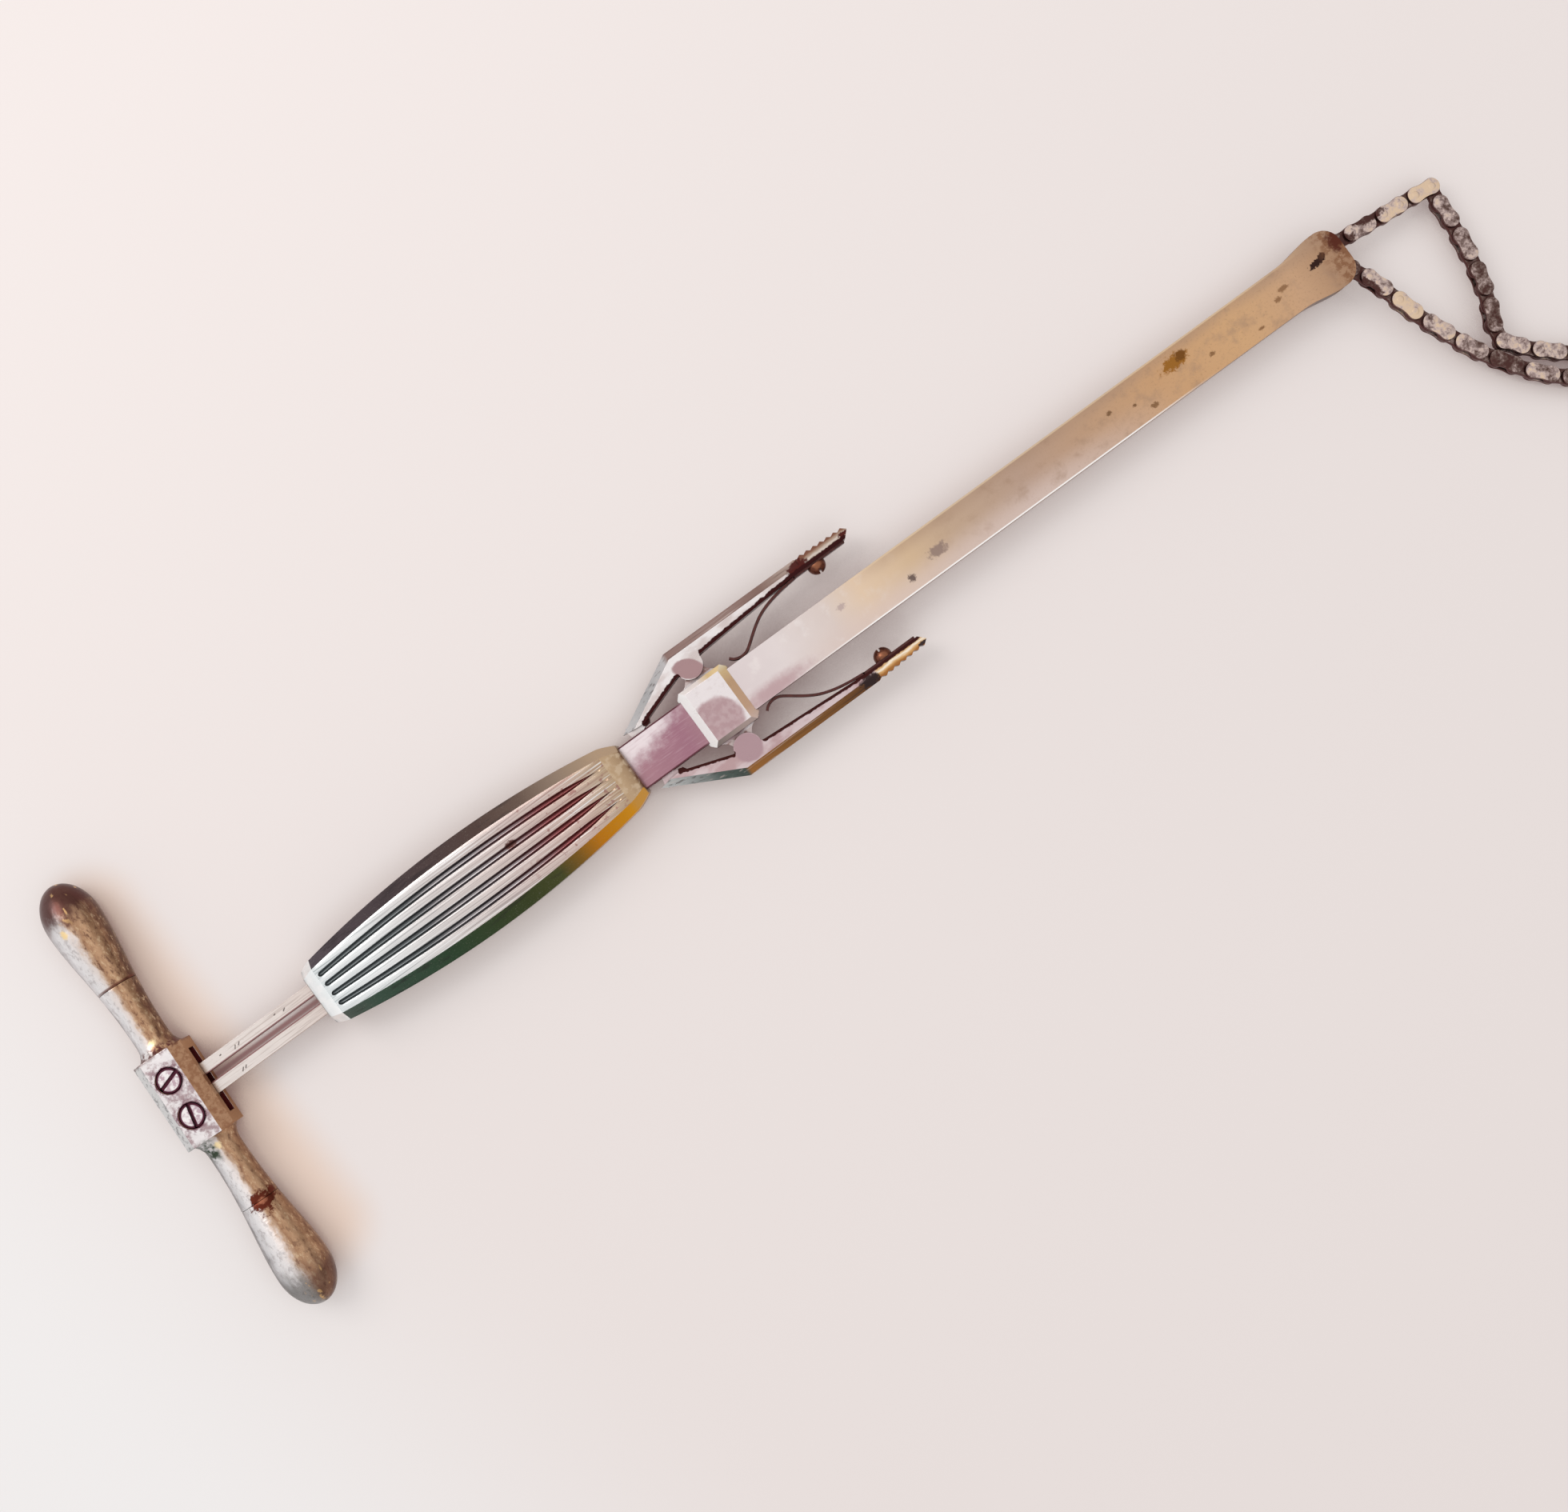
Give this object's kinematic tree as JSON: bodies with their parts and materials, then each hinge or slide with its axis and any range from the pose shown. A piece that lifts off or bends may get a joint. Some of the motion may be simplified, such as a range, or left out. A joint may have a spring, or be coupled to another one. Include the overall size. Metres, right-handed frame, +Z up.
{
  "type": "chain ecraseur",
  "caption": "Surgical chain crusher: fluted grip, long flat sheath, rocking cross handle that draws toothed racks, thumb pawls with leaf springs, and a loop of plate chain at the mouth.",
  "frame": {"origin": "on the table plane, in the worn flat of the middle rib under the centre of the grip", "axes": "+X along the sheath to the chain, +Y to the left pawl lever, +Z up from the table"},
  "size_m": [0.4092, 0.1395, 0.0136],
  "materials": {
    "sheath_nickel": "aged nickel plate, warm and brassy towards the mouth",
    "grip_nickel": "polished nickel plate",
    "collar_nickel": "polished nickel plate with lilac stains",
    "spring_steel": "dark rusty brown",
    "rack_steel": "bright satin steel",
    "handle_nickel": "worn, pitted nickel plate",
    "screw_steel": "bright screw heads",
    "chain_steel": "worn nickel plate mottled with dark brown rust",
    "hidden_steel": "plain steel"
  },
  "bodies": {
    "sheath": {"sheath_tube": "sheath_nickel", "centre_rib": "hidden_steel", "grip_shell": "grip_nickel", "grip_front_ring": "grip_nickel", "grip_rear_cap": "grip_nickel", "cap_screws": "hidden_steel", "collar": "collar_nickel", "pawl_pin_left": "hidden_steel", "pawl_pin_right": "hidden_steel"},
    "rack_left": {"rack_left": "rack_steel", "anchor_pin_left": "chain_steel", "chain_tail_left": "chain_steel"},
    "rack_right": {"rack_right": "rack_steel", "anchor_pin_right": "chain_steel", "chain_tail_right": "chain_steel"},
    "handle": {"handle_yoke": "handle_nickel", "handle_bulb_left": "handle_nickel", "handle_bulb_right": "handle_nickel", "pivot_screw_left": "screw_steel", "pivot_screw_right": "screw_steel"},
    "pawl_left": {"pawl_lever_left": "collar_nickel", "leaf_spring_left": "spring_steel", "spring_screw_left": "spring_steel"},
    "pawl_right": {"pawl_lever_right": "collar_nickel", "leaf_spring_right": "spring_steel", "spring_screw_right": "spring_steel"},
    "chain_left_1": {"chain_left_1": "chain_steel"},
    "chain_left_2": {"chain_left_2": "chain_steel"},
    "chain_left_3": {"chain_left_3": "chain_steel"},
    "chain_left_4": {"chain_left_4": "chain_steel"},
    "chain_left_5": {"chain_left_5": "chain_steel"},
    "chain_left_6": {"chain_left_6": "chain_steel"},
    "chain_left_7": {"chain_left_7": "chain_steel"},
    "chain_right_1": {"chain_right_1": "chain_steel"},
    "chain_right_2": {"chain_right_2": "chain_steel"},
    "chain_right_3": {"chain_right_3": "chain_steel"},
    "chain_right_4": {"chain_right_4": "chain_steel"},
    "chain_right_5": {"chain_right_5": "chain_steel"},
    "chain_right_6": {"chain_right_6": "chain_steel"}
  },
  "joints": [
    {"name": "rack_draw", "type": "slide", "parent": "sheath", "child": "rack_left", "axis": [-1, 0, 0], "range_m": [0, 0.114]},
    {"name": "handle_rock", "type": "hinge", "parent": "rack_left", "child": "handle", "pos_m": [-0.08479, 0.0049, 0.0068], "axis": [0, 0, 1], "range_deg": [-17.5, 17.5]},
    {"name": "rack_step", "type": "slide", "parent": "rack_left", "child": "rack_right", "axis": [1, 0, 0], "range_m": [-0.003, 0.003]},
    {"name": "pawl_left_press", "type": "hinge", "parent": "sheath", "child": "pawl_left", "pos_m": [0.0708, 0.012, 0.0068], "axis": [0, 0, 1], "range_deg": [-5, 3], "stiffness_Nm_per_rad": 1.5, "deforming": ["leaf_spring_left"]},
    {"name": "pawl_right_press", "type": "hinge", "parent": "sheath", "child": "pawl_right", "pos_m": [0.0708, -0.012, 0.0068], "axis": [0, 0, 1], "range_deg": [-3, 5], "stiffness_Nm_per_rad": 1.5, "deforming": ["leaf_spring_right"]},
    {"name": "chain_left_pin_1", "type": "hinge", "parent": "sheath", "child": "chain_left_1", "pos_m": [0.2493, 0.00265, 0.0068], "axis": [0.0809, 0, 0.9967], "range_deg": [0, 10]},
    {"name": "chain_left_pin_2", "type": "hinge", "parent": "chain_left_1", "child": "chain_left_2", "pos_m": [0.26742, 0.00122, 0.00533], "axis": [0.0809, 0, 0.9967], "range_deg": [0, 10]},
    {"name": "chain_left_pin_3", "type": "hinge", "parent": "chain_left_2", "child": "chain_left_3", "pos_m": [0.28037, -0.00449, 0.00428], "axis": [0.0809, 0, 0.9967], "range_deg": [0, 10]},
    {"name": "chain_left_pin_4", "type": "hinge", "parent": "chain_left_3", "child": "chain_left_4", "pos_m": [0.27823, -0.02257, 0.00445], "axis": [0.0809, 0, 0.9967], "range_deg": [0, 10]},
    {"name": "chain_left_pin_5", "type": "hinge", "parent": "chain_left_4", "child": "chain_left_5", "pos_m": [0.27296, -0.0399, 0.00488], "axis": [0.0809, 0, 0.9967], "range_deg": [0, 10]},
    {"name": "chain_left_pin_6", "type": "hinge", "parent": "chain_left_5", "child": "chain_left_6", "pos_m": [0.28599, -0.05253, 0.00382], "axis": [0.0809, 0, 0.9967], "range_deg": [0, 10]},
    {"name": "chain_left_pin_7", "type": "hinge", "parent": "chain_left_6", "child": "chain_left_7", "pos_m": [0.30046, -0.06357, 0.00265], "axis": [0.0809, 0, 0.9967], "range_deg": [0, 10]},
    {"name": "chain_right_pin_1", "type": "hinge", "parent": "sheath", "child": "chain_right_1", "pos_m": [0.2493, -0.00265, 0.0068], "axis": [0.0809, 0, 0.9967], "range_deg": [-10, 0]},
    {"name": "chain_right_pin_2", "type": "hinge", "parent": "chain_right_1", "child": "chain_right_2", "pos_m": [0.25826, -0.01738, 0.00607], "axis": [0.0809, 0, 0.9967], "range_deg": [-10, 0]},
    {"name": "chain_right_pin_3", "type": "hinge", "parent": "chain_right_2", "child": "chain_right_3", "pos_m": [0.26476, -0.03439, 0.00555], "axis": [0.0809, 0, 0.9967], "range_deg": [-10, 0]},
    {"name": "chain_right_pin_4", "type": "hinge", "parent": "chain_right_3", "child": "chain_right_4", "pos_m": [0.27458, -0.0497, 0.00475], "axis": [0.0809, 0, 0.9967], "range_deg": [-10, 0]},
    {"name": "chain_right_pin_5", "type": "hinge", "parent": "chain_right_4", "child": "chain_right_5", "pos_m": [0.28802, -0.06195, 0.00366], "axis": [0.0809, 0, 0.9967], "range_deg": [-10, 0]},
    {"name": "chain_right_pin_6", "type": "hinge", "parent": "chain_right_5", "child": "chain_right_6", "pos_m": [0.3022, -0.07336, 0.00251], "axis": [0.0809, 0, 0.9967], "range_deg": [-10, 0]}
  ],
  "couplings": [
    {"joint": "rack_step", "follows": "handle_rock", "m_per_rad": 0.0098}
  ]
}
